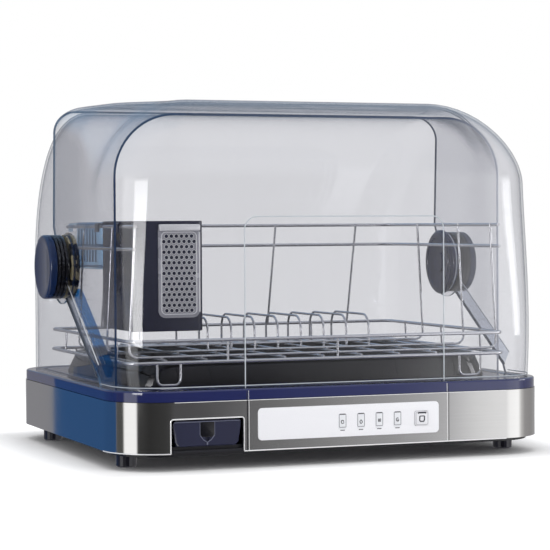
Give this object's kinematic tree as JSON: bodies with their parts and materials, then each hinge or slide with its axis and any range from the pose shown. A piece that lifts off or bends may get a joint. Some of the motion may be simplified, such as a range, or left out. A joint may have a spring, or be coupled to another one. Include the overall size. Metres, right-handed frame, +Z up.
{
  "type": "dish dryer",
  "caption": "Countertop dish dryer: steel-banded base with control panel and water drawer, wire rack, fixed clear rear cover and swing-back clear front cover on side hubs.",
  "frame": {"origin": "bottom centre of the whole dryer, on the surface its feet stand on", "axes": "+X to the right seen from the front, +Y towards the back, +Z up; the front faces -Y"},
  "size_m": [0.5276, 0.4339, 0.3885],
  "materials": {
    "dark_plastic": "satin black",
    "navy_plastic": "glossy navy",
    "smoky_plastic": "smoky translucent",
    "white_plastic": "semi-gloss white",
    "lens_plastic": "clear tinted",
    "grey_plastic": "satin light grey",
    "brushed_steel": "brushed",
    "chromed_wire": "polished",
    "black_rubber": "matte",
    "board_green": "solder mask",
    "clear_plastic": "clear acrylic-like plastic",
    "blue_clear_plastic": "clear pale blue plastic",
    "bush_bronze": "mottled bronze"
  },
  "bodies": {
    "base": {"base_pan": "dark_plastic", "fan_housing": "dark_plastic", "air_duct": "dark_plastic", "rim_deck": "navy_plastic", "outlet_grille": "navy_plastic", "control_panel": "white_plastic", "mode_window_1": "lens_plastic", "mode_window_2": "lens_plastic", "mode_window_3": "lens_plastic", "mode_window_4": "lens_plastic", "steel_band": "brushed_steel", "fascia_plate": "brushed_steel", "fan_motor": "brushed_steel", "heater_core": "brushed_steel", "pan_screw_1": "brushed_steel", "pan_screw_2": "brushed_steel", "pan_screw_3": "brushed_steel", "pan_screw_4": "brushed_steel", "rubber_foot_1": "black_rubber", "rubber_foot_2": "black_rubber", "rubber_foot_3": "black_rubber", "rubber_foot_4": "black_rubber", "cord_grommet": "black_rubber", "control_board": "board_green", "power_board": "board_green", "rear_cover": "clear_plastic", "pivot_bush_left": "bush_bronze", "pivot_bush_right": "bush_bronze"},
    "front_cover": {"front_cover": "clear_plastic", "ridged_ring_left": "dark_plastic", "ridged_ring_right": "dark_plastic", "hub_cap_left": "navy_plastic", "hub_cap_right": "navy_plastic", "pivot_pin_left": "brushed_steel", "pivot_pin_right": "brushed_steel"},
    "water_drawer": {"water_drawer": "smoky_plastic"},
    "power_button": {"power_button": "grey_plastic"},
    "fan": {"fan_rotor": "white_plastic"},
    "drip_tray": {"drip_tray": "dark_plastic"},
    "dish_rack": {"rack_basket": "chromed_wire", "plate_dividers": "chromed_wire", "guard_rail_upper": "chromed_wire", "guard_rail_lower": "chromed_wire", "side_hoop_1": "chromed_wire", "side_hoop_2": "chromed_wire", "side_hoop_3": "chromed_wire", "back_post_1": "chromed_wire", "back_post_2": "chromed_wire", "back_post_3": "chromed_wire", "back_post_4": "chromed_wire"},
    "cutlery_holder": {"cutlery_holder": "navy_plastic", "perforated_plate": "brushed_steel"},
    "clear_cup": {"clear_cup": "blue_clear_plastic"}
  },
  "joints": [
    {"name": "cover_hinge", "type": "hinge", "parent": "base", "child": "front_cover", "pos_m": [0, 0.033, 0.207], "axis": [-1, 0, 0], "range_deg": [0, 83]},
    {"name": "drawer_slide", "type": "slide", "parent": "base", "child": "water_drawer", "axis": [0, -1, 0], "range_m": [0, 0.09]},
    {"name": "button_press", "type": "slide", "parent": "base", "child": "power_button", "axis": [0, 1, 0], "range_m": [0, 0.0012], "stiffness_N_per_m": 500, "springref_m": -0.001},
    {"name": "fan_spin", "type": "hinge", "parent": "base", "child": "fan", "pos_m": [0.105, 0.02, 0.035], "axis": [0, 0, 1], "continuous": true},
    {"name": "tray_lift", "type": "slide", "parent": "base", "child": "drip_tray", "axis": [0, 0, 1], "range_m": [0, 0.025]},
    {"name": "rack_lift", "type": "slide", "parent": "drip_tray", "child": "dish_rack", "axis": [0, 0, 1], "range_m": [0, 0.025]},
    {"name": "holder_lift", "type": "slide", "parent": "dish_rack", "child": "cutlery_holder", "axis": [0, 0, 1], "range_m": [0, 0.025]},
    {"name": "cup_lift", "type": "slide", "parent": "dish_rack", "child": "clear_cup", "axis": [0, 0, 1], "range_m": [0, 0.025]}
  ]
}
